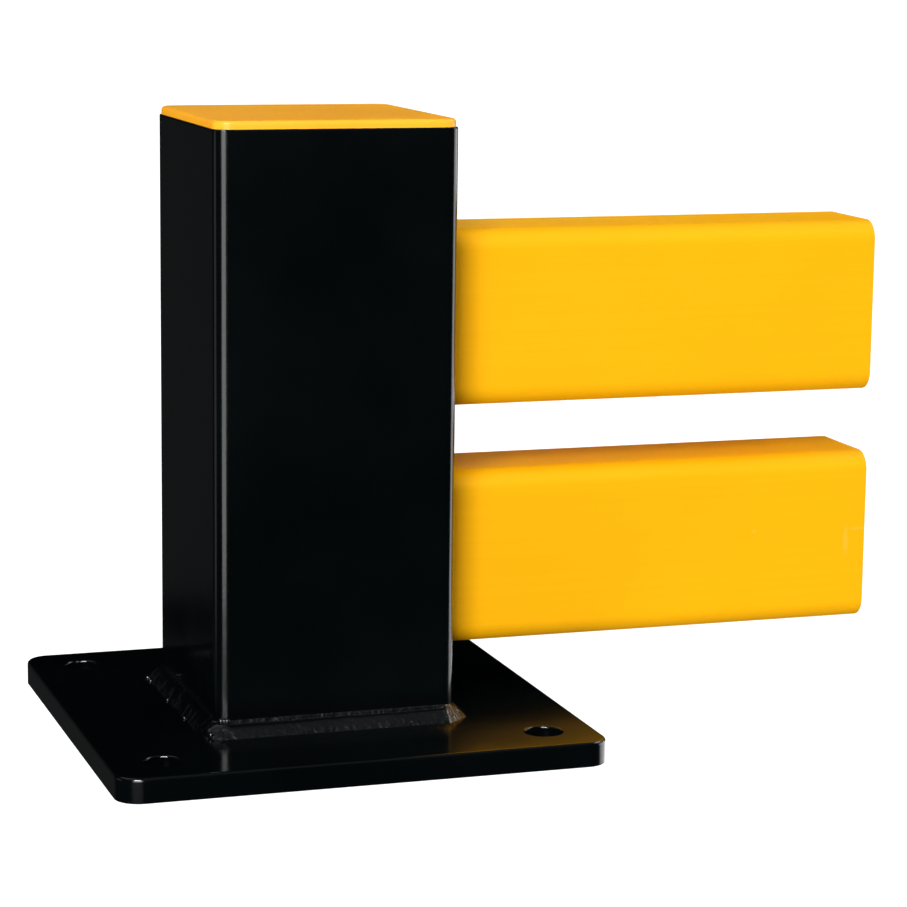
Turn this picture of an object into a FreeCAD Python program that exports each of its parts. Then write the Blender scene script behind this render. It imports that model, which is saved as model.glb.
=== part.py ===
"""End post of a low impact barrier, in millimetres.

A square steel tube is welded onto a base plate with four anchor holes. Two hollow polymer
planks pass through openings in one wall of the tube and reach its far wall. One upright
rod, dropped in from the top, runs through both planks and locks them. A pressed-in plastic
cap closes the tube.

+X runs along the planks, away from the post, and +Z is up. The origin is on the floor, on
the post's axis.
"""
import FreeCAD, Part
import os

# Post tube: square hollow section, sizes outside
POST_WIDTH = 120.0
POST_WALL = 4.0
POST_CORNER_RADIUS = 6.0
POST_HEAD = 52.0  # tube left above the upper plank
POST_END_EASE = 0.8  # rounding of the sawn top end's outer edge

# Base plate
PLATE_THICKNESS = 12.0
PLATE_PROJECTION = 60.0  # beyond each face of the post
PLATE_CORNER_RADIUS = 12.0
PLATE_EDGE_EASE = 1.8  # rounding of the upper edge; the lower one is square
ANCHOR_HOLE_DIAMETER = 18.0
ANCHOR_EDGE_DISTANCE = 26.0  # from the plate's edges to a hole's centre
ANCHOR_HOLE_EASE = 0.8  # broken edge round each hole's mouth

# Fillet weld round the foot of the tube
WELD_LEG = 8.0
WELD_CROWN = 0.9  # bulge of the bead's face over the straight line between its toes

# Planks: hollow extrusion with rounded corners
PLANK_HEIGHT = 88.0
PLANK_DEPTH = 60.0
PLANK_WALL = 6.0
PLANK_CORNER_RADIUS = 10.0
PLANK_REACH = 234.0  # from the post's face to the sawn free end
PLANK_FOOT_GAP = 29.0  # from the base plate up to the lower plank
PLANK_GAP = 32.0  # between the two planks
SLOT_CLEARANCE = 1.0  # round a plank in the post's wall; the plank rests on the lower edge
PLANK_END_PLAY = 0.3  # from the plank's inner end to the far wall

# Locking rod
ROD_DIAMETER = 16.0
ROD_CLEARANCE = 0.3  # round the rod in the planks' holes
ROD_HEAD = 16.0  # rod left above the upper plank, to take hold of
ROD_CHAMFER = 1.5

# Cap: moulded lid over a ribbed skirt that is pressed into the tube
CAP_THICKNESS = 4.0
CAP_SETBACK = 0.5  # lid's edge behind the tube's faces
CAP_CORNER_RADIUS = 7.5
CAP_EDGE_ROUND = 2.0
CAP_SKIRT_DEPTH = 24.0
CAP_SKIRT_WALL = 2.5
CAP_LIP_COUNT = 4
CAP_LIP_REACH = 2.0  # each lip beyond the skirt
CAP_LIP_THICKNESS = 1.2
CAP_LIP_PITCH = 5.0
CAP_LIP_FIT = 0.05  # left between the lips and the tube
CAP_WEB_COUNT = 2  # stiffening webs each way under the lid
CAP_WEB_THICKNESS = 2.0
CAP_WEB_DEPTH = 12.0
CAP_GATE_DIAMETER = 9.0  # shallow dish in the middle of the lid, left by moulding
CAP_GATE_DEPTH = 0.5

SHARPEST_CORNER = 0.5  # least radius of an inside corner where a wall uses up the outer radius

# Heights and widths that follow
PLATE_WIDTH = POST_WIDTH + 2 * PLATE_PROJECTION
POST_BORE = POST_WIDTH - 2 * POST_WALL
LOWER_PLANK_BASE = PLATE_THICKNESS + PLANK_FOOT_GAP
UPPER_PLANK_BASE = LOWER_PLANK_BASE + PLANK_HEIGHT + PLANK_GAP
UPPER_PLANK_TOP = UPPER_PLANK_BASE + PLANK_HEIGHT
POST_TOP = UPPER_PLANK_TOP + POST_HEAD

UP = FreeCAD.Vector(0, 0, 1)
ALONG = FreeCAD.Vector(1, 0, 0)
ACROSS = FreeCAD.Vector(0, 1, 0)
ORIGIN = FreeCAD.Vector(0, 0, 0)


def inside_radius(outer_radius, wall):
    """Radius of an inside corner of a wall of even thickness."""
    return max(outer_radius - wall, SHARPEST_CORNER)


def rounded_outline(size_x, size_y, radius, height=0.0):
    """Closed level wire about the post's axis, with arcs at the corners. It starts on its +X side."""
    quarter_turn = 90
    edges = []
    last_corner = FreeCAD.Vector(size_x / 2, radius - size_y / 2, height)
    for turn, (side_x, side_y) in enumerate(((1, 1), (-1, 1), (-1, -1), (1, -1))):
        centre = FreeCAD.Vector(side_x * (size_x / 2 - radius), side_y * (size_y / 2 - radius), height)
        corner = Part.makeCircle(radius, centre, UP, turn * quarter_turn, (turn + 1) * quarter_turn)
        edges.append(Part.makeLine(last_corner, corner.valueAt(corner.FirstParameter)))
        edges.append(corner)
        last_corner = corner.valueAt(corner.LastParameter)
    return Part.Wire(edges)


def upright_prism(size_x, size_y, radius, low, high):
    """Rounded prism about the post's axis, between two heights."""
    face = Part.Face(rounded_outline(size_x, size_y, radius, low))
    return face.extrude(UP * (high - low))


def level_prism(height, depth, radius, base, start, end):
    """Rounded prism along +X, centred across the post, whose underside is at the height base."""
    prism = upright_prism(height, depth, radius, start, end)
    prism.rotate(ORIGIN, ACROSS, 90)
    prism.translate(UP * (base + height / 2))
    return prism


def level_edges(shape, height):
    """Edges of a shape that lie at one height."""
    bounds = ((edge, edge.BoundBox) for edge in shape.Edges)
    return [edge for edge, box in bounds if abs(box.ZMin - height) < 1e-6 and abs(box.ZMax - height) < 1e-6]


def anchor_centres():
    """Places of the anchor holes, one near each corner of the plate."""
    reach = PLATE_WIDTH / 2 - ANCHOR_EDGE_DISTANCE
    return [FreeCAD.Vector(x, y, 0) for x in (-reach, reach) for y in (-reach, reach)]


def make_base_plate():
    plate = upright_prism(PLATE_WIDTH, PLATE_WIDTH, PLATE_CORNER_RADIUS, 0, PLATE_THICKNESS)
    plate = plate.makeFillet(PLATE_EDGE_EASE, level_edges(plate, PLATE_THICKNESS))
    hole_radius = ANCHOR_HOLE_DIAMETER / 2
    for centre in anchor_centres():
        mouth = centre + UP * (PLATE_THICKNESS - ANCHOR_HOLE_EASE)
        plate = plate.cut(Part.makeCylinder(hole_radius, PLATE_THICKNESS, centre))
        plate = plate.cut(Part.makeCone(hole_radius, hole_radius + ANCHOR_HOLE_EASE, ANCHOR_HOLE_EASE, mouth))
    return plate


def make_post_tube():
    tube = upright_prism(POST_WIDTH, POST_WIDTH, POST_CORNER_RADIUS, PLATE_THICKNESS, POST_TOP)
    tube = tube.makeFillet(POST_END_EASE, level_edges(tube, POST_TOP))
    bore_radius = inside_radius(POST_CORNER_RADIUS, POST_WALL)
    tube = tube.cut(upright_prism(POST_BORE, POST_BORE, bore_radius, PLATE_THICKNESS, POST_TOP))
    slot_height = PLANK_HEIGHT + SLOT_CLEARANCE
    slot_depth = PLANK_DEPTH + 2 * SLOT_CLEARANCE
    for base in (LOWER_PLANK_BASE, UPPER_PLANK_BASE):
        slot = level_prism(slot_height, slot_depth, PLANK_CORNER_RADIUS, base, 0, POST_WIDTH)
        tube = tube.cut(slot)
    return tube


def make_foot_weld():
    """Bead with a crowned face, swept round the foot of the tube."""
    path = rounded_outline(POST_WIDTH, POST_WIDTH, POST_CORNER_RADIUS, PLATE_THICKNESS)
    root = FreeCAD.Vector(POST_WIDTH / 2, POST_CORNER_RADIUS - POST_WIDTH / 2, PLATE_THICKNESS)
    plate_toe = root + ALONG * WELD_LEG
    post_toe = root + UP * WELD_LEG
    outward = (ALONG + UP).normalize()
    crown = (plate_toe + post_toe) / 2 + outward * WELD_CROWN
    face_line = Part.Arc(plate_toe, crown, post_toe).toShape()
    section = Part.Wire([Part.makeLine(root, plate_toe), face_line, Part.makeLine(post_toe, root)])
    return path.makePipeShell([section], True, False)


def make_plank(base):
    inner_end = PLANK_END_PLAY - POST_BORE / 2
    free_end = POST_WIDTH / 2 + PLANK_REACH
    plank = level_prism(PLANK_HEIGHT, PLANK_DEPTH, PLANK_CORNER_RADIUS, base, inner_end, free_end)
    hollow_radius = inside_radius(PLANK_CORNER_RADIUS, PLANK_WALL)
    hollow_height = PLANK_HEIGHT - 2 * PLANK_WALL
    hollow_depth = PLANK_DEPTH - 2 * PLANK_WALL
    hollow = level_prism(hollow_height, hollow_depth, hollow_radius, base + PLANK_WALL, inner_end, free_end)
    rod_hole = Part.makeCylinder(ROD_DIAMETER / 2 + ROD_CLEARANCE, PLANK_HEIGHT, UP * base)
    return plank.cut(hollow).cut(rod_hole)


def make_locking_rod():
    """Plain bar that stands on the base plate, with both ends chamfered."""
    length = UPPER_PLANK_TOP + ROD_HEAD - PLATE_THICKNESS
    rod = Part.makeCylinder(ROD_DIAMETER / 2, length, UP * PLATE_THICKNESS)
    ends = level_edges(rod, PLATE_THICKNESS) + level_edges(rod, PLATE_THICKNESS + length)
    return rod.makeChamfer(ROD_CHAMFER, ends)


def make_cap_webs(skirt_bore):
    """Grid of webs that stiffens the lid from below, inside the skirt."""
    webs = []
    spacing = skirt_bore / (CAP_WEB_COUNT + 1)
    low = POST_TOP - CAP_WEB_DEPTH
    for number in range(CAP_WEB_COUNT):
        middle = (number + 1) * spacing - skirt_bore / 2
        web = Part.makeBox(skirt_bore, CAP_WEB_THICKNESS, CAP_WEB_DEPTH,
                           FreeCAD.Vector(-skirt_bore / 2, middle - CAP_WEB_THICKNESS / 2, low))
        crossing = web.copy()
        crossing.rotate(ORIGIN, UP, 90)
        webs += [web, crossing]
    return webs


def make_post_cap():
    lid_width = POST_WIDTH - 2 * CAP_SETBACK
    lid_top = POST_TOP + CAP_THICKNESS
    lid = upright_prism(lid_width, lid_width, CAP_CORNER_RADIUS, POST_TOP, lid_top)
    lid = lid.makeFillet(CAP_EDGE_ROUND, level_edges(lid, lid_top))
    gate_radius = CAP_GATE_DIAMETER / 2
    dish_radius = (gate_radius ** 2 + CAP_GATE_DEPTH ** 2) / (2 * CAP_GATE_DEPTH)
    dish = Part.makeSphere(dish_radius, UP * (lid_top + dish_radius - CAP_GATE_DEPTH))
    lid = lid.cut(dish)

    bore_radius = inside_radius(POST_CORNER_RADIUS, POST_WALL)
    lip_width = POST_BORE - 2 * CAP_LIP_FIT
    skirt_width = lip_width - 2 * CAP_LIP_REACH
    skirt_bore = skirt_width - 2 * CAP_SKIRT_WALL
    skirt_low = POST_TOP - CAP_SKIRT_DEPTH
    pieces = [upright_prism(skirt_width, skirt_width, bore_radius, skirt_low, POST_TOP)]
    for number in range(CAP_LIP_COUNT):
        lip_low = skirt_low + CAP_LIP_THICKNESS + number * CAP_LIP_PITCH
        pieces.append(upright_prism(lip_width, lip_width, bore_radius, lip_low, lip_low + CAP_LIP_THICKNESS))
    hollow = upright_prism(skirt_bore, skirt_bore, SHARPEST_CORNER, skirt_low, POST_TOP)
    skirt = pieces[0].fuse(pieces[1:]).cut(hollow)
    return lid.fuse([skirt] + make_cap_webs(skirt_bore)).removeSplitter()


nodes = {
    "base_plate": make_base_plate(),
    "post_tube": make_post_tube(),
    "foot_weld": make_foot_weld(),
    "lower_plank": make_plank(LOWER_PLANK_BASE),
    "upper_plank": make_plank(UPPER_PLANK_BASE),
    "locking_rod": make_locking_rod(),
    "post_cap": make_post_cap(),
}

os.makedirs("parts", exist_ok=True)
for name, shape in nodes.items():
    shape.exportStep(f"parts/{name}.step")
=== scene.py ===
"""Looks of a barrier post: coated steel, weld bead, yellow planks and cap, and a plain studio.

Lengths are in metres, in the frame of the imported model: +X along the planks, +Z up, and the
origin on the floor under the post.
"""

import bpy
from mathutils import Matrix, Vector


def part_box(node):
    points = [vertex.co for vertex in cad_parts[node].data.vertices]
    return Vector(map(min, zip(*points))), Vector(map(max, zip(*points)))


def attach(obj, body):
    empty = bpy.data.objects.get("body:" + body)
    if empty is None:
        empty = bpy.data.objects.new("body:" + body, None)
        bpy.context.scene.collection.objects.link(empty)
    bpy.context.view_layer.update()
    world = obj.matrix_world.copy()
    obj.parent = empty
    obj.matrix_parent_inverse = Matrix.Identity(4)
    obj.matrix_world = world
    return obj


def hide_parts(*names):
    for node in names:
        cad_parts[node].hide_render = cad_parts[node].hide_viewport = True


bl_info = {
    "name": "Barrier Post Looks",
    "version": (1, 0, 0),
    "blender": (4, 5, 0),
    "location": "View3D > Sidebar > Barrier Post",
    "description": "Dresses a barrier post: coated steel, weld bead, planks, cap, rod and studio",
    "category": "Object",
}

import math
from collections import namedtuple

import bmesh
import bpy
from bpy.props import FloatProperty, FloatVectorProperty, PointerProperty
from bpy.types import Operator, Panel, PropertyGroup
from mathutils import Matrix, Vector, noise

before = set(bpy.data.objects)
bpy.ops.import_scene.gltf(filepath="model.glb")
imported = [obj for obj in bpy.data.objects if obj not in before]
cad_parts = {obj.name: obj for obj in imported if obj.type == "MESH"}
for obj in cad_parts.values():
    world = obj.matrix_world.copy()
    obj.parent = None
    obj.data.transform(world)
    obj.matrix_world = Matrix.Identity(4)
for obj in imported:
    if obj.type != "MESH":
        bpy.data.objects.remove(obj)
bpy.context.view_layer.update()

MM = 0.001
UP = Vector((0, 0, 1))
POST_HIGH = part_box("post_tube")[1]
PLATE_LOW, PLATE_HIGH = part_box("base_plate")
WELD_LOW, WELD_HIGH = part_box("foot_weld")
LOWER_LOW, LOWER_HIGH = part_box("lower_plank")
UPPER_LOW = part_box("upper_plank")[0]
CAP_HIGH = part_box("post_cap")[1]

SENSOR_WIDTH = 36.0  # millimetres
VIEW_REACH = 100.0  # metres


# Settings that a user would change

def length(name, description, default):
    return FloatProperty(name=name, description=description, default=default, min=0.0,
                         unit="LENGTH", precision=5)


def share(name, description, default):
    return FloatProperty(name=name, description=description, default=default, min=0.0, max=1.0,
                         subtype="FACTOR")


def turn(name, description, degrees):
    return FloatProperty(name=name, description=description, default=math.radians(degrees),
                         subtype="ANGLE")


def colour(name, description, default):
    return FloatVectorProperty(name=name, description=description, default=default, min=0.0, max=1.0,
                               size=3, subtype="COLOR")


class PlateSizes(PropertyGroup):
    """Base plate and its anchor holes."""
    corner_radius: length("Corner", "Radius of the plate's corners", 12 * MM)
    edge_round: length("Edge round", "Rounding of the upper edge", 1.8 * MM)
    hole: length("Hole", "Diameter of the anchor holes", 18 * MM)
    hole_inset: length("Hole inset", "From the plate's edges to a hole's centre", 26 * MM)
    mouth_round: length("Mouth round", "Rounding of the holes' upper edges", 1.2 * MM)


class WeldSizes(PropertyGroup):
    """Bead round the foot of the post."""
    post_radius: length("Post corner", "Radius of the tube's outer corners", 6 * MM)
    plate_leg: length("Plate leg", "Reach of the bead over the plate", WELD_HIGH.x - POST_HIGH.x)
    post_leg: length("Post leg", "Reach of the bead up the post", WELD_HIGH.z - WELD_LOW.z)
    crown: length("Crown", "Bulge of the bead over the line between its toes", 0.5 * MM)
    ripple_pitch: length("Ripple pitch", "Distance from one ripple to the next", 2.7 * MM)
    bed: length("Bed", "Depth to which the toes sink into the steel", 0.3 * MM)
    flare: length("Flare", "Part of the post leg where the bead runs out tangent to the post", 2.4 * MM)


class PlankSizes(PropertyGroup):
    """Hollow planks."""
    wall: length("Wall", "Thickness of the walls", 6 * MM)
    corner_radius: length("Corner", "Radius of the section's outer corners", 10 * MM)
    rod_hole: length("Rod hole", "Diameter of the hole for the locking rod", 16.6 * MM)
    rim_ease: length("Rim ease", "Rounding of the sawn rims", 0.6 * MM)
    sink: length("Sink", "Hollow of each face at its middle, left by cooling", 0.2 * MM)
    unevenness: length("Unevenness", "Height of the slow waves of the faces", 0.1 * MM)


class FinishColours(PropertyGroup):
    """Colours and gloss of the finishes."""
    coat: colour("Coat", "Black powder coat", (0.0008, 0.0016, 0.0019))
    coat_gloss: share("Coat roughness", "Roughness of the black coat on the post", 0.17)
    plate_gloss: share("Plate roughness", "Roughness of the black coat on the plate", 0.135)
    weld_gloss: share("Weld roughness", "Roughness of the black coat on the weld", 0.2)
    plank: colour("Plank", "Yellow of the planks", (0.80, 0.372, 0.002))
    plank_gloss: share("Plank roughness", "Roughness of the planks", 0.5)
    cap: colour("Cap", "Yellow of the cap", (0.92, 0.40, 0.015))
    cap_gloss: share("Cap roughness", "Roughness of the cap", 0.36)
    zinc: colour("Zinc", "Plated steel of the rod", (0.60, 0.61, 0.63))


class StudioSetup(PropertyGroup):
    """Floor, light and camera."""
    floor_colour: colour("Floor", "Pale floor", (0.30, 0.30, 0.30))
    floor_radius: length("Floor radius", "Radius of the round cove", 7.0)
    floor_glow: share("Floor glow", "Light of its own that keeps the floor pale far from the post", 0.92)
    light: FloatProperty(name="Light", description="Strength of all the softboxes", default=1.0, min=0.0)
    ambience: share("Ambience", "Even light from all round", 0.25)
    focal_length: FloatProperty(name="Focal length", description="Lens of the camera, in millimetres",
                                default=117.95, min=1.0, unit="CAMERA")
    camera_place: FloatVectorProperty(name="Camera place", description="Where the camera stands", size=3,
                                      default=(-0.3901, -1.3988, 0.3980), subtype="TRANSLATION")
    camera_yaw: turn("Yaw", "Turn of the view from +Y towards +X", 18.50)
    camera_pitch: turn("Pitch", "Tilt of the view below the horizon", 10.196)
    camera_roll: turn("Roll", "Roll of the camera about its view", 0.691)


class BarrierPostSettings(PropertyGroup):
    """All the settings of the post's looks."""
    plate: PointerProperty(type=PlateSizes)
    weld: PointerProperty(type=WeldSizes)
    planks: PointerProperty(type=PlankSizes)
    finish: PointerProperty(type=FinishColours)
    studio: PointerProperty(type=StudioSetup)


# Modelling helpers

HOLE_SIDES = 64
SHARP = 1.0  # radians between the faces of an edge
SMOOTH_ANGLE = math.radians(40)


def clear_selection():
    bpy.ops.object.select_all(action="DESELECT")


def pick(kind, wanted):
    """Selects, in edit mode, the verts, edges or faces that pass a test, and nothing else."""
    mesh_data = bpy.context.object.data
    bpy.ops.mesh.select_mode(type=kind)
    bpy.ops.mesh.select_all(action="DESELECT")
    mesh = bmesh.from_edit_mesh(mesh_data)
    for element in {"VERT": mesh.verts, "EDGE": mesh.edges, "FACE": mesh.faces}[kind]:
        if wanted(element):
            element.select_set(True)
    mesh.select_flush_mode()
    bmesh.update_edit_mesh(mesh_data)


def is_sharp(edge):
    return edge.calc_face_angle(0) > SHARP


def turn_faces_out():
    bpy.ops.mesh.select_all(action="SELECT")
    bpy.ops.mesh.normals_make_consistent(inside=False)


def move_verts(moved):
    """Gives each vertex in edit mode a new place, worked out from its old place and normal."""
    mesh_data = bpy.context.object.data
    mesh = bmesh.from_edit_mesh(mesh_data)
    mesh.normal_update()
    places = [moved(vert.co.copy(), vert.normal.copy()) for vert in mesh.verts]
    for vert, place in zip(mesh.verts, places):
        vert.co = place
    bmesh.update_edit_mesh(mesh_data)


def smooth_step(low, high, value):
    """0 at low, 1 at high, and smooth between them."""
    part = min(max((value - low) / (high - low), 0.0), 1.0)
    return part * part * (3 - 2 * part)


def drill(piece, centre, diameter, depth):
    """Cuts an upright round hole through a piece."""
    clear_selection()
    bpy.ops.mesh.primitive_cylinder_add(vertices=HOLE_SIDES, radius=diameter / 2, depth=depth,
                                        location=centre)
    bit = bpy.context.object
    bpy.context.view_layer.objects.active = piece
    bpy.ops.object.modifier_add(type="BOOLEAN")
    bore = piece.modifiers[-1]
    bore.operation = "DIFFERENCE"
    bore.solver = "EXACT"
    bore.object = bit
    bpy.ops.object.modifier_apply(modifier=bore.name)
    clear_selection()
    bit.select_set(True)
    bpy.ops.object.delete()
    piece.select_set(True)
    bpy.context.view_layer.objects.active = piece


def finish_piece(piece, material, slot, *nodes):
    """Gives a modelled piece its material and ties it to the frame."""
    piece.data.materials.clear()
    piece.data.materials.append(material)
    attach(piece, "root")
    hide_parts(*nodes)


def dress_node(name, material):
    """Gives a CAD node a better material."""
    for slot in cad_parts[name].material_slots:
        slot.material = material


# Material helpers

def add_node(tree, kind, inputs=None, **options):
    """Adds a node, sets its options, and sets or links its inputs."""
    node = tree.nodes.new(kind)
    for option, value in options.items():
        setattr(node, option, value)
    for socket, value in (inputs or {}).items():
        if isinstance(value, bpy.types.NodeSocket):
            tree.links.new(value, node.inputs[socket])
        else:
            node.inputs[socket].default_value = value
    return node


def new_finish(name):
    """An empty material: its tree, its shader and its Object coordinates."""
    material = bpy.data.materials.new(name)
    material.use_nodes = True
    tree = material.node_tree
    shader = tree.nodes["Principled BSDF"]
    place = add_node(tree, "ShaderNodeTexCoord").outputs["Object"]
    return material, tree, shader, place


def grain(tree, place, scale, detail=2.0, stretch=None):
    """Noise from 0 to 1. Scale is in patches per metre, and stretch scales each axis first."""
    if stretch:
        stretched = add_node(tree, "ShaderNodeMapping", {"Vector": place, "Scale": stretch})
        place = stretched.outputs["Vector"]
    texture = add_node(tree, "ShaderNodeTexNoise", {"Vector": place, "Scale": scale, "Detail": detail})
    return texture.outputs["Fac"]


def remap(tree, value, low, high, to_low, to_high):
    inputs = {"Value": value, "From Min": low, "From Max": high, "To Min": to_low, "To Max": to_high}
    return add_node(tree, "ShaderNodeMapRange", inputs).outputs["Result"]


def combine(tree, operation, first, second):
    node = add_node(tree, "ShaderNodeMath", operation=operation)
    for socket, value in zip(node.inputs, (first, second)):
        if isinstance(value, bpy.types.NodeSocket):
            tree.links.new(value, socket)
        else:
            socket.default_value = value
    return node.outputs["Value"]


def mean(tree, first, second, first_share):
    """Mean of two fields, with the share that the first one has in it."""
    return combine(tree, "ADD", combine(tree, "MULTIPLY", first, first_share),
                   combine(tree, "MULTIPLY", second, 1 - first_share))


def shades(tree, value, base, dark, light, low=0.3, high=0.7):
    """Colour that runs from a darker to a lighter shade of base as value goes from low to high."""
    ramp = add_node(tree, "ShaderNodeValToRGB", {"Fac": value})
    for element, position, factor in zip(ramp.color_ramp.elements, (low, high), (dark, light)):
        element.position = position
        element.color = [min(channel * factor, 1.0) for channel in base] + [1.0]
    return ramp.outputs["Color"]


def blend_colours(tree, factor, first, second):
    """First colour where factor is 0, second where it is 1."""
    node = add_node(tree, "ShaderNodeMix", data_type="RGBA")
    sockets = {socket.identifier: socket for socket in node.inputs}
    tree.links.new(factor, sockets["Factor_Float"])
    tree.links.new(first, sockets["A_Color"])
    sockets["B_Color"].default_value = [*second, 1.0]
    return next(socket for socket in node.outputs if socket.identifier == "Result_Color")


def spot(tree, place, centre, half):
    """1 at a centre, falling to 0 on an ellipsoid about it with the given half sizes."""
    scale = [1 / size for size in half]
    offset = [-middle / size for middle, size in zip(centre, half)]
    local = add_node(tree, "ShaderNodeMapping", {"Vector": place, "Location": offset, "Scale": scale})
    return add_node(tree, "ShaderNodeTexGradient", {"Vector": local.outputs["Vector"]},
                    gradient_type="SPHERICAL").outputs["Fac"]


def add_bump(tree, height, distance, under=None):
    """Bump of a height field that is distance tall, laid over another bump."""
    inputs = {"Height": height, "Distance": distance, "Strength": 1.0}
    if under:
        inputs["Normal"] = under
    return add_node(tree, "ShaderNodeBump", inputs).outputs["Normal"]


# Finishes: scales are in patches per metre

COAT_DRIFT_SCALE = 11
COAT_PEEL_SCALE = 420
COAT_WAVE_SCALE = 70
STEEL_SCALE = 300
COAT_PEEL = 0.012 * MM
COAT_WAVE = 0.05 * MM
COAT_ROUGHNESS_DRIFT = 0.03
WELD_RELIEF = 0.45 * MM


def make_black_coat(finish, name, roughness, relief):
    """Gloss black powder coat: orange peel over slow waves and the relief of the steel below."""
    material, tree, shader, place = new_finish(name)
    drift = grain(tree, place, COAT_DRIFT_SCALE, 3)
    peel = grain(tree, place, COAT_PEEL_SCALE, 1)
    waves = grain(tree, place, COAT_WAVE_SCALE, 1)
    steel = grain(tree, place, STEEL_SCALE, 2)
    colour_out = shades(tree, drift, finish.coat, 0.8, 1.25)
    spread = COAT_ROUGHNESS_DRIFT
    rough = remap(tree, drift, 0.3, 0.7, roughness - spread, roughness + spread)
    normal = add_bump(tree, steel, relief, add_bump(tree, waves, COAT_WAVE))
    tree.links.new(colour_out, shader.inputs["Base Color"])
    tree.links.new(rough, shader.inputs["Roughness"])
    tree.links.new(add_bump(tree, peel, COAT_PEEL, normal), shader.inputs["Normal"])
    shader.inputs["IOR"].default_value = 1.5
    return material


PLANK_CLOUD_SCALE = 12
PLANK_SPECK_SCALE = 1600
DIE_LINE_SCALES = (3, 420, 420)  # along each axis
SAW_LINE_SCALE = 210.0
PLANK_SPECK = 0.006 * MM
DIE_LINE = 0.02 * MM
SAW_LINE = 0.12 * MM
SAWN_FROM = 0.4 * MM  # from the free end, where the saw marks begin and where they are full
SAWN_TO = 0.2 * MM
SAWN_SHARE = 0.35
SAWN_TINT = (0.95, 0.50, 0.06)
RUBS = (  # rubbed marks on the lower plank's front: distance along it, height and half sizes, in mm
    (283.2, 83.0, 2.0, 10.0),
    (289.5, 89.0, 6.0, 1.1),
    (231.1, 90.3, 1.6, 1.6),
)
RUB_DEPTH = 3 * MM
RUB_SHARE = 0.25
RUB_TINT = (0.95, 0.50, 0.10)


def rubbed_marks(tree, place):
    marks = None
    for along, height, half_length, half_height in RUBS:
        centre = (along * MM, LOWER_LOW.y, height * MM)
        mark = spot(tree, place, centre, (half_length * MM, RUB_DEPTH, half_height * MM))
        marks = combine(tree, "MAXIMUM", marks, mark) if marks else mark
    return marks


def make_plank_yellow(finish):
    """Satin polymer: faint die lines, fine grain, saw marks on the free end and rubbed marks."""
    material, tree, shader, place = new_finish("plank_yellow")
    clouds = grain(tree, place, PLANK_CLOUD_SCALE, 3)
    lines = grain(tree, place, 1, 2, DIE_LINE_SCALES)
    specks = grain(tree, place, PLANK_SPECK_SCALE, 2)
    tone = mean(tree, clouds, lines, 0.6)
    body = shades(tree, tone, finish.plank, 0.97, 1.03)

    along = add_node(tree, "ShaderNodeSeparateXYZ", {"Vector": place}).outputs["X"]
    sawn = remap(tree, along, LOWER_HIGH.x - SAWN_FROM, LOWER_HIGH.x - SAWN_TO, 0.0, 1.0)
    saw = {"Vector": place, "Scale": SAW_LINE_SCALE, "Distortion": 2.5, "Detail": 2.0, "Detail Scale": 1.5}
    saw_lines = add_node(tree, "ShaderNodeTexWave", saw, wave_type="BANDS", bands_direction="Z")
    saw_height = combine(tree, "MULTIPLY", saw_lines.outputs["Fac"], sawn)
    colour_out = blend_colours(tree, combine(tree, "MULTIPLY", sawn, SAWN_SHARE), body, SAWN_TINT)
    rubbed = combine(tree, "MULTIPLY", rubbed_marks(tree, place), RUB_SHARE)
    colour_out = blend_colours(tree, rubbed, colour_out, RUB_TINT)

    rough = remap(tree, tone, 0.3, 0.7, finish.plank_gloss - 0.05, finish.plank_gloss + 0.05)
    normal = add_bump(tree, specks, PLANK_SPECK, add_bump(tree, lines, DIE_LINE))
    normal = add_bump(tree, saw_height, SAW_LINE, normal)
    tree.links.new(colour_out, shader.inputs["Base Color"])
    rough = combine(tree, "ADD", rough, combine(tree, "MULTIPLY", sawn, 0.2))
    tree.links.new(rough, shader.inputs["Roughness"])
    tree.links.new(normal, shader.inputs["Normal"])
    shader.inputs["IOR"].default_value = 1.46
    shader.inputs["Specular IOR Level"].default_value = 0.08
    return material


CAP_CLOUD_SCALE = 24
CAP_SPARK_SCALE = 1500
CAP_SPARK = 0.008 * MM
GATE_RADIUS = 5 * MM
GATE_SHARE = 0.45
GATE_TINT = (0.93, 0.50, 0.08)


def make_cap_yellow(finish):
    """Moulded satin plastic with a fine spark texture, paler at the gate in its middle."""
    material, tree, shader, place = new_finish("cap_yellow")
    clouds = grain(tree, place, CAP_CLOUD_SCALE, 3)
    spark = grain(tree, place, CAP_SPARK_SCALE, 3)
    body = shades(tree, clouds, finish.cap, 0.97, 1.03)
    dome = spot(tree, place, (0, 0, CAP_HIGH.z), (GATE_RADIUS,) * 3)
    gate = remap(tree, dome, 0.0, 0.25, 0.0, GATE_SHARE)
    colour_out = blend_colours(tree, gate, body, GATE_TINT)
    rough = remap(tree, clouds, 0.3, 0.7, finish.cap_gloss - 0.04, finish.cap_gloss + 0.04)
    tree.links.new(colour_out, shader.inputs["Base Color"])
    tree.links.new(rough, shader.inputs["Roughness"])
    tree.links.new(add_bump(tree, spark, CAP_SPARK), shader.inputs["Normal"])
    shader.inputs["Specular IOR Level"].default_value = 0.35
    return material


ZINC_CLOUD_SCALE = 130
DRAWN_LINE_SCALES = (900, 900, 12)  # along each axis
DRAWN_LINE = 0.02 * MM


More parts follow.
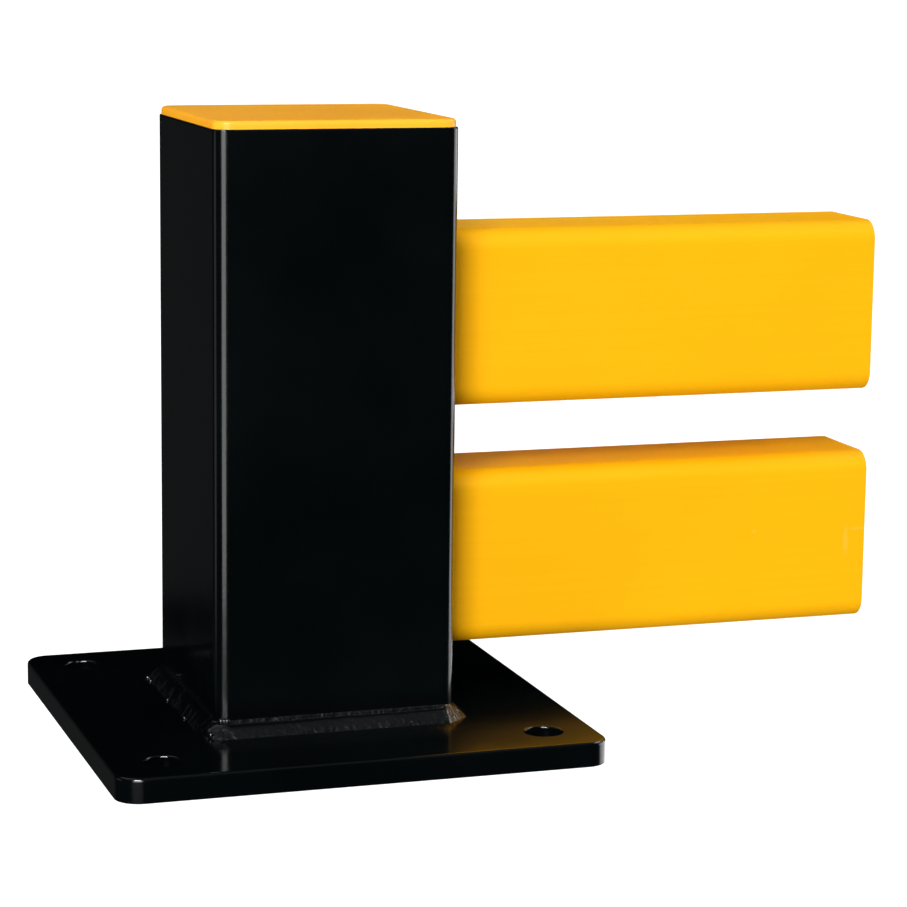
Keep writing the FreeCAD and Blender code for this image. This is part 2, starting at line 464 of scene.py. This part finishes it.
def make_rod_zinc(finish):
    """Plated steel: drawn lines along the rod and a cloudy passivated film."""
    material, tree, shader, place = new_finish("rod_zinc")
    clouds = grain(tree, place, ZINC_CLOUD_SCALE, 3)
    drawn = grain(tree, place, 1, 2, DRAWN_LINE_SCALES)
    tone = mean(tree, clouds, drawn, 0.5)
    tree.links.new(shades(tree, tone, finish.zinc, 0.8, 1.1), shader.inputs["Base Color"])
    tree.links.new(remap(tree, tone, 0.3, 0.7, 0.28, 0.46), shader.inputs["Roughness"])
    tree.links.new(add_bump(tree, drawn, DRAWN_LINE), shader.inputs["Normal"])
    shader.inputs["Metallic"].default_value = 1.0
    return material


def make_floor_pale(studio):
    """Matt paper of the cove, a little uneven in tone."""
    material, tree, shader, place = new_finish("floor_pale")
    clouds = grain(tree, place, 1.5, 2)
    tree.links.new(shades(tree, clouds, studio.floor_colour, 0.985, 1.015), shader.inputs["Base Color"])
    shader.inputs["Roughness"].default_value = 0.9
    shader.inputs["Specular IOR Level"].default_value = 0.0
    shader.inputs["Emission Color"].default_value = (1.0, 1.0, 1.0, 1.0)
    shader.inputs["Emission Strength"].default_value = studio.floor_glow
    return material


# Weld bead

Run = namedtuple("Run", "ripple lumps wander crease")
RUNS = {  # how rough each side's run of weld came out
    "front": Run(0.02 * MM, 0.12 * MM, 0.20 * MM, 1.0 * MM),
    "left": Run(0.06 * MM, 0.45 * MM, 0.70 * MM, 0.10 * MM),
    "back": Run(0.20 * MM, 0.35 * MM, 0.50 * MM, 0.15 * MM),
    "right": Run(0.20 * MM, 0.35 * MM, 0.50 * MM, 0.15 * MM),
}
CORNER_CUTS = 24
RIPPLE_CUTS = 240  # along each side
FACE_CUTS = 26  # across the bead
OPEN_FROM = 0.22  # part of the bead's face, from the plate up, where ripples and lumps are full
OPEN_TO = 0.8
LUMP_SIZE = 7 * MM
WANDER_SIZE = 5 * MM
CLIMB_SHARE = 0.6  # of the wander, for the toe on the post
SWAY_SIZE = 9 * MM
SWAY_SHARE = 0.35  # of the ripple pitch
RIPPLE_BOW = 1.4 * MM  # how far a ripple's ends run ahead of its middle
LAP = 0.74  # place of the lap line across the bead
LAP_WIDTH = 0.065
LAP_WIDENING = 0.045
LAP_THIN = 20 * MM  # place along a side where the lap line is thinnest, and where it is widest
LAP_WIDE = -50 * MM
LAP_DRIFT = 0.03
LAP_DRIFT_SIZE = 25 * MM
CORNER_LINE_PLACE = 3.5 * MM  # line past each corner where one run laps the next
CORNER_LINE_WIDTH = 1.3 * MM
CORNER_LINE_DEPTH = 0.2 * MM
FADE_BEFORE = 1.5 * MM  # about a corner's start, where a side's ripples fade out
FADE_AFTER = 1.0 * MM
CORNER_BLEND = 3 * MM  # reach of the change from one run to the next
BEAD_SMOOTH_ANGLE = math.radians(60)
FACET_TURN = 38  # flat at the front right corner: its direction in degrees to the right of the front
FACET_TOP = Vector((5.7, 7.6)) * MM  # points on it: distance from the corner's core and height
FACET_FOOT = Vector((11.6, 0.2)) * MM
FACET_PRESS = 0.93
DROPLETS = (  # place, height over the plate and radius, in mm
    (-67.4, -25, 0.2, 1.2), (-67.4, 11, 0.2, 1.1), (-67.4, 50, 0.2, 1.1), (-67.4, 57, 0.2, 1.3),
    (-63.2, -62.2, 1.4, 1.7), (-57.6, -59.7, 7.0, 1.8), (-56.2, -60.1, 7.0, 1.8), (-54.9, -60.2, 7.0, 1.8),
)


class PostOutline:
    """Where a point lies about the tube's rounded square."""

    def __init__(self, point, radius):
        core = POST_HIGH.x - radius
        past_x = abs(point.x) - core
        past_y = abs(point.y) - core
        aside = math.copysign(max(past_x, 0.0), point.x)
        ahead = math.copysign(max(past_y, 0.0), point.y)
        off_core = Vector((aside, ahead, 0.0))
        self.outward = off_core.normalized()
        self.stand_off = off_core.length - radius
        beside = past_x > past_y
        self.along = point.y if beside else point.x
        self.straight = 1 - smooth_step(core - FADE_BEFORE, core + FADE_AFTER, abs(self.along))
        self.past_corner = abs(self.along) - core
        share_beside = smooth_step(-CORNER_BLEND, CORNER_BLEND, past_x - past_y)
        pair = zip(RUNS["left" if point.x < 0 else "right"], RUNS["front" if point.y < 0 else "back"])
        self.run = Run(*(side * share_beside + level * (1 - share_beside) for side, level in pair))


def add_post_loop(grown, height, weld):
    """Adds a level line round the post in edit mode: its rounded square, grown outwards."""
    width = 2 * (POST_HIGH.x + grown)
    bpy.ops.mesh.select_mode(type="VERT")
    bpy.ops.mesh.select_all(action="DESELECT")
    bpy.ops.mesh.primitive_plane_add(size=width, location=(0, 0, height))
    bpy.ops.mesh.bevel(offset=weld.post_radius + grown, segments=CORNER_CUTS, affect="VERTICES")
    bpy.ops.mesh.delete(type="ONLY_FACE")


def bridge_rows(wanted, cuts=0):
    """Joins two lines of vertices by a strip of faces."""
    pick("EDGE", lambda edge: all(wanted(vert.co) for vert in edge.verts))
    bpy.ops.mesh.bridge_edge_loops(number_cuts=cuts, interpolation="LINEAR")


def bead_bulge(point, across, outline, weld):
    """Height of the bead over the line between its toes; across is 0 on the plate and 1 on the post."""
    run = outline.run
    open_face = smooth_step(0.0, OPEN_FROM, across) * smooth_step(1.0, OPEN_TO, across)
    crown = weld.crown * 4 * across * (1 - across) * (0.45 + 0.55 * outline.straight)
    bow = RIPPLE_BOW * (2 * across - 1) ** 2
    sway = SWAY_SHARE * weld.ripple_pitch * noise.noise(point / SWAY_SIZE)
    phase = (outline.along + bow + sway) / weld.ripple_pitch
    ripple = run.ripple * (math.sqrt(abs(math.sin(math.pi * phase))) - 0.6) * outline.straight
    lumps = run.lumps * noise.noise(point / LUMP_SIZE + Vector((3.1, 1.7, 0.4)))
    started = smooth_step(LAP_THIN, LAP_WIDE, outline.along)
    drift = LAP_DRIFT * noise.noise(Vector((outline.along / LAP_DRIFT_SIZE, 0.3, 0.8)))
    lap = LAP - LAP_DRIFT * started + drift
    lap_width = LAP_WIDTH + LAP_WIDENING * started
    crease_line = math.exp(-((across - lap) / lap_width) ** 2)
    corner_line = math.exp(-((outline.past_corner - CORNER_LINE_PLACE) / CORNER_LINE_WIDTH) ** 2)
    creases = run.crease * crease_line * outline.straight + CORNER_LINE_DEPTH * corner_line * open_face
    return crown + (ripple + lumps) * open_face - creases


def flatten_corner(place, weld):
    """Presses the bead's front right corner nearly flat where it stands over a plane."""
    core = POST_HIGH.x - weld.post_radius
    ahead = Vector((math.sin(math.radians(FACET_TURN)), -math.cos(math.radians(FACET_TURN)), 0))
    fall = FACET_TOP - FACET_FOOT
    facing = (ahead * fall.y - UP * fall.x).normalized()
    on_facet = Vector((core, -core, PLATE_HIGH.z)) + ahead * FACET_TOP.x + UP * FACET_TOP.y
    over = (place - on_facet).dot(facing)
    if over <= 0 or place.z < PLATE_HIGH.z:
        return place
    return place - facing * over * FACET_PRESS


def shape_bead(weld):
    """Makes the plain strip a bead: crowned, rippled, with toes that wander and a flare up the post."""
    plate_top = PLATE_HIGH.z
    flare_share = weld.flare / weld.post_leg

    def moved(point, _normal):
        outline = PostOutline(point, weld.post_radius)
        height = point.z - plate_top
        if outline.stand_off < 0 and height < 0:
            return point
        across = min(max(height / weld.post_leg, 0.0), 1.0)
        wander = outline.run.wander * noise.noise(point / WANDER_SIZE + Vector((8.3, 0.2, 5.0)))
        climb = outline.run.wander * noise.noise(point / WANDER_SIZE + Vector((1.9, 6.6, 2.0)))
        facing = (outline.outward * weld.post_leg + UP * weld.plate_leg).normalized()
        left = min((1 - across) / flare_share, 1.0)
        place = point + facing * bead_bulge(point, across, outline, weld)
        place += outline.outward * (wander * (1 - across) - weld.flare * left * (1 - left))
        place += UP * CLIMB_SHARE * climb * across
        return flatten_corner(place, weld) if point.x > 0 > point.y else place

    move_verts(moved)


def add_droplets():
    """Small domes of weld metal along the bead's toes."""
    for x, y, height, radius in DROPLETS:
        place = Vector((x, y, height)) * MM + UP * PLATE_HIGH.z
        bpy.ops.mesh.select_all(action="DESELECT")
        bpy.ops.mesh.primitive_ico_sphere_add(subdivisions=3, radius=radius * MM, location=place)


class BARRIER_OT_weld_foot(Operator):
    """Models the weld bead round the foot of the post"""
    bl_idname = "barrier_post.weld_foot"
    bl_label = "Weld the Foot"

    def execute(self, context):
        settings = context.scene.barrier_post
        weld = settings.weld
        low = PLATE_HIGH.z - weld.bed
        high = PLATE_HIGH.z + weld.post_leg
        clear_selection()
        bpy.ops.mesh.primitive_plane_add(size=1.0)
        bead = context.object
        bead.name = "weld_bead"
        bpy.ops.object.mode_set(mode="EDIT")
        bpy.ops.mesh.delete(type="VERT")
        for grown, height in ((-weld.bed, low), (-weld.bed, high), (weld.plate_leg, low)):
            add_post_loop(grown, height, weld)
        pick("EDGE", lambda edge: edge.calc_length() > POST_HIGH.x / 2)
        bpy.ops.mesh.subdivide(number_cuts=RIPPLE_CUTS)

        def on_post(point):
            return point.z > high - weld.bed

        def on_plate(point):
            return PostOutline(point, weld.post_radius).stand_off > weld.plate_leg - weld.bed

        def at_root(point):
            return not on_post(point) and not on_plate(point)

        bridge_rows(lambda point: on_post(point) or on_plate(point), FACE_CUTS)
        root_height = low + weld.bed / 10
        bridge_rows(lambda point: on_post(point) or (at_root(point) and point.z < root_height))
        bridge_rows(lambda point: on_plate(point) or (at_root(point) and point.z < root_height))
        turn_faces_out()
        shape_bead(weld)
        add_droplets()
        bpy.ops.object.mode_set(mode="OBJECT")
        bpy.ops.object.shade_smooth_by_angle(angle=BEAD_SMOOTH_ANGLE)
        coat = make_black_coat(settings.finish, "coat_weld", settings.finish.weld_gloss, WELD_RELIEF)
        finish_piece(bead, coat, "black_coat", "foot_weld")
        return {"FINISHED"}


# Coated steel

PLATE_CORNER_CUTS = 24
PLATE_EDGE_CUTS = 6
LEVEL_ROOM = 0.1 * MM  # how far below the plate's top an edge still counts as upper
HOLE_REACH = 0.6  # of a hole's diameter, from its centre


def draw_plate(plate):
    """The plate's outline, raised to its thickness."""
    clear_selection()
    bpy.ops.mesh.primitive_plane_add(size=PLATE_HIGH.x - PLATE_LOW.x, location=(0, 0, PLATE_LOW.z))
    bpy.ops.object.mode_set(mode="EDIT")
    bpy.ops.mesh.select_mode(type="VERT")
    bpy.ops.mesh.select_all(action="SELECT")
    bpy.ops.mesh.bevel(offset=plate.corner_radius, segments=PLATE_CORNER_CUTS, affect="VERTICES")
    pick("FACE", lambda face: True)
    rise = (0, 0, PLATE_HIGH.z - PLATE_LOW.z)
    bpy.ops.mesh.extrude_region_move(TRANSFORM_OT_translate={"value": rise})
    turn_faces_out()
    bpy.ops.object.mode_set(mode="OBJECT")
    return bpy.context.object


def round_edges(wanted, radius):
    """Rounds the upper edges of the piece in edit mode whose ends pass a test."""
    def upper(edge):
        level = all(vert.co.z > PLATE_HIGH.z - LEVEL_ROOM for vert in edge.verts)
        return level and is_sharp(edge) and all(wanted(vert.co) for vert in edge.verts)

    pick("EDGE", upper)
    bpy.ops.mesh.bevel(offset=radius, segments=PLATE_EDGE_CUTS, affect="EDGES")


class BARRIER_OT_form_plate(Operator):
    """Models the base plate with rounded edges and hole mouths"""
    bl_idname = "barrier_post.form_plate"
    bl_label = "Form the Plate"

    def execute(self, context):
        settings = context.scene.barrier_post
        plate = settings.plate
        body = draw_plate(plate)
        body.name = "plate_body"
        reach = PLATE_HIGH.x - plate.hole_inset
        for x in (-reach, reach):
            for y in (-reach, reach):
                drill(body, (x, y, PLATE_HIGH.z / 2), plate.hole, 2 * PLATE_HIGH.z)

        def at_hole(point):
            return math.hypot(abs(point.x) - reach, abs(point.y) - reach) < HOLE_REACH * plate.hole

        bpy.ops.object.mode_set(mode="EDIT")
        round_edges(lambda point: not at_hole(point), plate.edge_round)
        round_edges(at_hole, plate.mouth_round)
        bpy.ops.object.mode_set(mode="OBJECT")
        bpy.ops.object.shade_smooth_by_angle(angle=SMOOTH_ANGLE)
        bpy.ops.object.modifier_add(type="WEIGHTED_NORMAL")
        body.modifiers[-1].keep_sharp = True
        bpy.ops.object.modifier_apply(modifier=body.modifiers[-1].name)
        coat = make_black_coat(settings.finish, "coat_plate", settings.finish.plate_gloss, 0.0)
        finish_piece(body, coat, "black_coat", "base_plate")
        return {"FINISHED"}


class BARRIER_OT_coat_post(Operator):
    """Gives the post tube its gloss black coat"""
    bl_idname = "barrier_post.coat_post"
    bl_label = "Coat the Post"

    def execute(self, context):
        finish = context.scene.barrier_post.finish
        dress_node("post_tube", make_black_coat(finish, "coat_black", finish.coat_gloss, 0.0))
        return {"FINISHED"}


# Planks

SECTION_CORNER_CUTS = 10
SECTION_SIDE_CUTS = 12
LENGTH_CUTS = 70
RIM_CUTS = 3
WAVE_SIZE = 80 * MM
FACING = (0.6, 0.95)  # part of the normal where a face starts to sink, and where it sinks fully


def draw_section(low, high, planks):
    """Starts a plank in edit mode as the ring of its sawn free end."""
    middle = (low + high) / 2
    clear_selection()
    bpy.ops.mesh.primitive_plane_add(size=1.0, location=(high.x, middle.y, middle.z),
                                     rotation=(0, math.pi / 2, 0))
    plank = bpy.context.object
    plank.scale = (high.z - low.z, high.y - low.y, 1.0)
    bpy.ops.object.transform_apply(location=True, rotation=True, scale=True)
    bpy.ops.object.mode_set(mode="EDIT")
    bpy.ops.mesh.select_mode(type="VERT")
    bpy.ops.mesh.select_all(action="SELECT")
    bpy.ops.mesh.bevel(offset=planks.corner_radius, segments=SECTION_CORNER_CUTS, affect="VERTICES")
    bpy.ops.mesh.delete(type="ONLY_FACE")
    pick("EDGE", lambda edge: edge.calc_length() > planks.corner_radius)
    bpy.ops.mesh.subdivide(number_cuts=SECTION_SIDE_CUTS)
    bpy.ops.mesh.select_all(action="SELECT")
    bpy.ops.mesh.edge_face_add()
    pick("FACE", lambda face: True)
    bpy.ops.mesh.inset(thickness=planks.wall)
    bpy.ops.mesh.delete(type="FACE")
    return plank


def draw_out(low, high, planks):
    """Draws the ring out to the plank's length, eases its sawn rims and divides it lengthwise."""
    pick("FACE", lambda face: True)
    bpy.ops.mesh.extrude_region_move(TRANSFORM_OT_translate={"value": (low.x - high.x, 0, 0)})
    turn_faces_out()

    def reach(edge):
        return abs(edge.verts[0].co.x - edge.verts[1].co.x)

    pick("EDGE", lambda edge: reach(edge) < MM and is_sharp(edge))
    bpy.ops.mesh.bevel(offset=planks.rim_ease, segments=RIM_CUTS, affect="EDGES")
    pick("EDGE", lambda edge: reach(edge) > (high.x - low.x) / 2)
    bpy.ops.mesh.subdivide(number_cuts=LENGTH_CUTS)


def settle_faces(low, high, planks):
    """Lets the faces sink a little at their middles and wave slowly along the plank."""
    middle = (low + high) / 2
    half = (high - low) / 2

    def moved(point, normal):
        across_y = (point.y - middle.y) / half.y
        across_z = (point.z - middle.z) / half.z
        upright = smooth_step(*FACING, abs(normal.y)) * max(1 - across_z ** 2, 0.0)
        level = smooth_step(*FACING, abs(normal.z)) * max(1 - across_y ** 2, 0.0)
        past_y = abs(point.y - middle.y) - half.y
        past_z = abs(point.z - middle.z) - half.z
        outer = smooth_step(0.0, planks.wall / 2, max(past_y, past_z) + planks.wall / 2)
        wave = noise.noise(point / WAVE_SIZE) * planks.unevenness * (upright + level)
        sunk = planks.sink * (upright + level) * outer
        return point + normal * (wave * outer - sunk)

    move_verts(moved)


class BARRIER_OT_fit_planks(Operator):
    """Models one plank and copies it to the other's place"""
    bl_idname = "barrier_post.fit_planks"
    bl_label = "Fit the Planks"

    def execute(self, context):
        settings = context.scene.barrier_post
        planks = settings.planks
        yellow = make_plank_yellow(settings.finish)
        lower = draw_section(LOWER_LOW, LOWER_HIGH, planks)
        lower.name = "lower_plank_body"
        draw_out(LOWER_LOW, LOWER_HIGH, planks)
        settle_faces(LOWER_LOW, LOWER_HIGH, planks)
        bpy.ops.object.mode_set(mode="OBJECT")
        middle_height = (LOWER_LOW.z + LOWER_HIGH.z) / 2
        drill(lower, (0, 0, middle_height), planks.rod_hole, 2 * (LOWER_HIGH.z - LOWER_LOW.z))
        bpy.ops.object.shade_smooth_by_angle(angle=SMOOTH_ANGLE)

        bpy.ops.object.duplicate(linked=False)
        upper = context.object
        upper.name = "upper_plank_body"
        bpy.ops.transform.translate(value=UPPER_LOW - LOWER_LOW)
        bpy.ops.object.transform_apply(location=True, rotation=True, scale=True)
        finish_piece(lower, yellow, "yellow_plank", "lower_plank")
        finish_piece(upper, yellow, "yellow_plank", "upper_plank")
        return {"FINISHED"}


# Cap and rod

class BARRIER_OT_finish_cap(Operator):
    """Gives the cap its moulded yellow"""
    bl_idname = "barrier_post.finish_cap"
    bl_label = "Finish the Cap"

    def execute(self, context):
        dress_node("post_cap", make_cap_yellow(context.scene.barrier_post.finish))
        return {"FINISHED"}


class BARRIER_OT_finish_rod(Operator):
    """Gives the locking rod its zinc plating"""
    bl_idname = "barrier_post.finish_rod"
    bl_label = "Finish the Rod"

    def execute(self, context):
        dress_node("locking_rod", make_rod_zinc(context.scene.barrier_post.finish))
        return {"FINISHED"}


# Studio

Softbox = namedtuple("Softbox", "name azimuth elevation distance width height radiance use")
LIGHTS, SHOWS = "diffuse", "glossy"  # a softbox or fill only lights, a strip or card only shows in gloss
SOFTBOXES = (  # azimuth in degrees to the right of the front, elevation in degrees, sizes in metres
    Softbox("key_softbox", -30, 40, 9.0, 3.2, 3.2, 15.6, LIGHTS),
    Softbox("low_softbox", -30, -12.5, 9.0, 3.2, 0.8, 64.0, LIGHTS),
    Softbox("bounce_softbox", -40, -42, 9.0, 3.2, 4.15, 4.2, LIGHTS),
    Softbox("front_right_fill", 60, 30, 9.0, 4.0, 4.0, 4.5, LIGHTS),
    Softbox("left_fill", -98, 8, 9.0, 4.0, 4.0, 5.0, LIGHTS),
    Softbox("right_fill", 96, 8, 9.0, 4.0, 4.0, 4.6, LIGHTS),
    Softbox("back_fill", 172, 8, 9.0, 4.0, 4.0, 8.5, LIGHTS),
    Softbox("top_fill", 0, 80, 9.0, 4.0, 4.0, 5.6, LIGHTS),
    Softbox("key_card", -24, 42, 9.0, 4.15, 1.2, 85.0, SHOWS),
    Softbox("front_left_strip", -24.5, -5.3, 1.8, 1.1, 0.63, 3.4, SHOWS),
    Softbox("front_left_strip_high", -24.5, 10, 1.2, 0.8, 0.13, 11.0, SHOWS),
    Softbox("front_left_strip_low", -25.5, -20, 1.92, 1.6, 0.16, 0.12, SHOWS),
    Softbox("left_strip", -107, -5.9, 1.8, 0.75, 0.6, 0.4, SHOWS),
    Softbox("right_strip", 95, -5.9, 1.8, 1.6, 0.67, 3.5, SHOWS),
    Softbox("right_strip_low", 118, -20.8, 1.92, 3.1, 0.18, 2.4, SHOWS),
    Softbox("back_strip", -161, -5.9, 1.8, 1.0, 0.6, 0.021, SHOWS),
    Softbox("back_strip_low", -161, -20, 1.92, 2.0, 0.22, 0.025, SHOWS),
    Softbox("overhead_card", 40, 58, 1.8, 1.5, 0.7, 0.13, SHOWS),
    Softbox("overhead_card_high", 40, 79, 1.8, 1.5, 0.6, 0.10, SHOWS),
    Softbox("left_card", -90, 60, 1.8, 0.7, 1.4, 0.34, SHOWS),
    Softbox("left_card_back", -125, 60, 1.8, 0.7, 1.4, 0.6, SHOWS),
    Softbox("right_card", 93, 38, 1.8, 1.0, 0.8, 4.0, SHOWS),
)
LIGHT_TARGET = Vector((0.06, 0.0, 0.15))
COVE_SIDES = 96
COVE_WALL = 5.0
COVE_BEND = 2.5
COVE_BEND_CUTS = 14
COVE_MARGIN = 1.2  # ring of floor kept clear for the bend, in bends


def add_cove(studio):
    """Round pale floor that curves up into a wall."""
    clear_selection()
    bpy.ops.mesh.primitive_circle_add(vertices=COVE_SIDES, radius=studio.floor_radius, fill_type="NGON")
    cove = bpy.context.object
    cove.name = "studio_cove"
    bpy.ops.object.mode_set(mode="EDIT")
    pick("FACE", lambda face: True)
    bpy.ops.mesh.inset(thickness=COVE_BEND * COVE_MARGIN)
    pick("EDGE", lambda edge: edge.is_boundary)
    bpy.ops.mesh.extrude_region_move(TRANSFORM_OT_translate={"value": (0, 0, COVE_WALL)})
    pick("EDGE", lambda edge: is_sharp(edge) and max(vert.co.z for vert in edge.verts) < MM)
    bpy.ops.mesh.bevel(offset=COVE_BEND, segments=COVE_BEND_CUTS, affect="EDGES")
    bpy.ops.object.mode_set(mode="OBJECT")
    bpy.ops.object.shade_smooth()
    cove.data.materials.append(make_floor_pale(studio))
    cove.visible_glossy = False
    cove.visible_diffuse = False
    cove.visible_shadow = False


def add_softbox(box, strength):
    azimuth = math.radians(box.azimuth)
    elevation = math.radians(box.elevation)
    level = math.cos(elevation)
    away = Vector((math.sin(azimuth) * level, -math.cos(azimuth) * level, math.sin(elevation)))
    facing = (-away).to_track_quat("-Z", "Y").to_euler()
    clear_selection()
    bpy.ops.object.light_add(type="AREA", location=LIGHT_TARGET + away * box.distance, rotation=facing)
    light = bpy.context.object
    light.name = box.name
    light.visible_camera = False
    light.visible_diffuse = box.use == LIGHTS
    light.visible_glossy = box.use == SHOWS
    light.data.shape = "RECTANGLE"
    light.data.size = box.width
    light.data.size_y = box.height
    light.data.energy = box.radiance * strength * math.pi * box.width * box.height


def add_camera(studio):
    facing = (Matrix.Rotation(-studio.camera_yaw, 3, "Z")
              @ Matrix.Rotation(math.pi / 2 - studio.camera_pitch, 3, "X")
              @ Matrix.Rotation(studio.camera_roll, 3, "Z"))
    clear_selection()
    bpy.ops.object.camera_add(location=studio.camera_place, rotation=facing.to_euler())
    camera = bpy.context.object
    camera.name = "studio_camera"
    camera.data.lens = studio.focal_length
    camera.data.sensor_width = SENSOR_WIDTH
    camera.data.clip_end = VIEW_REACH
    bpy.context.scene.camera = camera


class BARRIER_OT_set_studio(Operator):
    """Sets up the pale floor, the softboxes and the camera"""
    bl_idname = "barrier_post.set_studio"
    bl_label = "Set the Studio"

    def execute(self, context):
        scene = context.scene
        studio = scene.barrier_post.studio
        add_cove(studio)
        for box in SOFTBOXES:
            add_softbox(box, studio.light)
        add_camera(studio)
        scene.world = bpy.data.worlds.new("studio_ambience")
        scene.world.use_nodes = True
        sky = scene.world.node_tree.nodes["Background"]
        sky.inputs["Color"].default_value = (1.0, 1.0, 1.0, 1.0)
        sky.inputs["Strength"].default_value = studio.ambience
        scene.world.cycles_visibility.glossy = False
        scene.view_settings.view_transform = "Standard"
        return {"FINISHED"}


# Sidebar

OPERATORS = (
    BARRIER_OT_coat_post,
    BARRIER_OT_form_plate,
    BARRIER_OT_weld_foot,
    BARRIER_OT_fit_planks,
    BARRIER_OT_finish_cap,
    BARRIER_OT_finish_rod,
    BARRIER_OT_set_studio,
)


class BARRIER_PT_looks(Panel):
    """Settings and steps of the post's looks"""
    bl_idname = "BARRIER_PT_looks"
    bl_label = "Barrier Post"
    bl_space_type = "VIEW_3D"
    bl_region_type = "UI"
    bl_category = "Barrier Post"

    def draw(self, context):
        settings = context.scene.barrier_post
        for group in (settings.plate, settings.weld, settings.planks, settings.finish, settings.studio):
            column = self.layout.box().column()
            for name in group.__annotations__:
                column.prop(group, name)
        for operator in OPERATORS:
            self.layout.operator(operator.bl_idname)


CLASSES = (PlateSizes, WeldSizes, PlankSizes, FinishColours, StudioSetup, BarrierPostSettings,
           *OPERATORS, BARRIER_PT_looks)


def register():
    for cls in CLASSES:
        bpy.utils.register_class(cls)
    bpy.types.Scene.barrier_post = PointerProperty(type=BarrierPostSettings)


def unregister():
    del bpy.types.Scene.barrier_post
    for cls in reversed(CLASSES):
        bpy.utils.unregister_class(cls)


def main():
    register()
    bpy.ops.barrier_post.coat_post()
    bpy.ops.barrier_post.form_plate()
    bpy.ops.barrier_post.weld_foot()
    bpy.ops.barrier_post.fit_planks()
    bpy.ops.barrier_post.finish_cap()
    bpy.ops.barrier_post.finish_rod()
    bpy.ops.barrier_post.set_studio()


if __name__ == "__main__":
    main()
